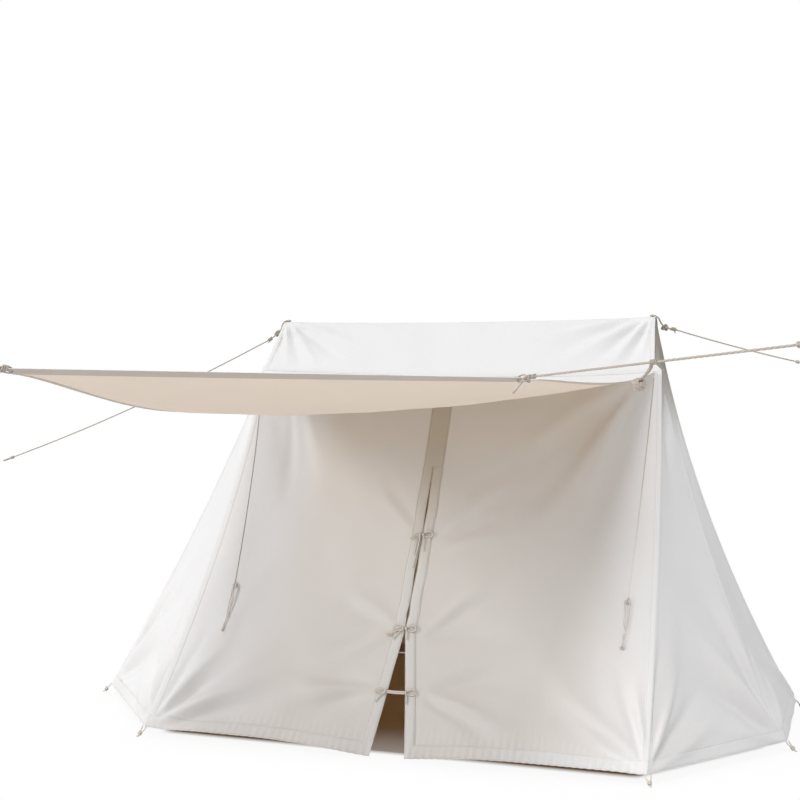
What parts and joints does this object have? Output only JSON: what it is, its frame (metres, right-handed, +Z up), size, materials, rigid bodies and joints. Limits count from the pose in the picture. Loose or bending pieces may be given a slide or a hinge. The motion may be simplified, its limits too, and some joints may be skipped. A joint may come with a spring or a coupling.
{
  "type": "canvas tent",
  "caption": "Off-white canvas ridge tent with closed bell ends, a two-flap tied door and an awning stretched forward from the eave on ropes",
  "frame": {"origin": "on the ground, at the bottom centre of the box round the tent, its awning and its peg loops, ropes left out", "axes": "+Z up, +Y from the door to the back, +X to the right as seen from in front of the door"},
  "size_m": [4.7048, 4.3188, 2.012],
  "materials": {
    "canvas": "matt",
    "hem_cloth": "matt",
    "rope": "matt",
    "pole_wood": "satin",
    "zinced_steel": "satin",
    "brass": "satin"
  },
  "bodies": {
    "tent": {"front_roof": "canvas", "back_panel": "canvas", "left_front_gore": "canvas", "left_end_gore": "canvas", "left_rear_gore": "canvas", "right_front_gore": "canvas", "right_end_gore": "canvas", "right_rear_gore": "canvas", "left_wall": "canvas", "right_wall": "canvas", "upper_placket": "canvas", "left_upright": "pole_wood", "right_upright": "pole_wood", "left_spike_cap": "zinced_steel", "right_spike_cap": "zinced_steel", "ridge_pole_left": "pole_wood", "ridge_pole_right": "pole_wood", "ridge_sleeve": "zinced_steel", "left_ridge_patch": "canvas", "right_ridge_patch": "canvas", "left_ridge_eyelet": "brass", "right_ridge_eyelet": "brass", "left_front_corner_loop": "rope", "left_front_end_loop": "rope", "left_rear_end_loop": "rope", "left_rear_corner_loop": "rope", "right_front_corner_loop": "rope", "right_front_end_loop": "rope", "right_rear_end_loop": "rope", "right_rear_corner_loop": "rope", "left_tie_back": "rope", "right_tie_back": "rope", "left_ridge_knot": "rope", "right_ridge_knot": "rope", "ridge_rope_left": "rope", "ridge_rope_right": "rope", "ridge_rope_left_end": "rope", "ridge_rope_right_end": "rope"},
    "awning": {"awning": "canvas", "awning_hem": "hem_cloth", "awning_left_eyelet": "brass", "awning_right_eyelet": "brass", "awning_left_knot": "rope", "awning_right_knot": "rope", "awning_rope_left": "rope", "awning_rope_right": "rope", "awning_rope_left_end": "rope", "awning_rope_right_end": "rope", "awning_rope_hitch": "rope"},
    "left_door_flap": {"left_flap": "canvas", "left_placket": "canvas", "left_tie_1": "rope", "left_tie_2": "rope", "left_tie_3": "rope"},
    "right_door_flap": {"right_flap": "canvas", "right_placket": "canvas", "right_tie_1": "rope", "right_tie_2": "rope", "right_tie_3": "rope"}
  },
  "joints": [
    {"name": "awning_hinge", "type": "hinge", "parent": "tent", "child": "awning", "pos_m": [0.0965, 0.4266, 1.7344], "axis": [-1, 0, 0], "range_deg": [0, 125]},
    {"name": "left_flap_hinge", "type": "hinge", "parent": "tent", "child": "left_door_flap", "pos_m": [-1.1175, -0.41839, 0.05352], "axis": [-0.6356, -0.3712, -0.6769], "range_deg": [0, 150]},
    {"name": "right_flap_hinge", "type": "hinge", "parent": "tent", "child": "right_door_flap", "pos_m": [1.2155, -0.41839, 0.05352], "axis": [-0.612, 0.3802, 0.6935], "range_deg": [0, 150]}
  ]
}
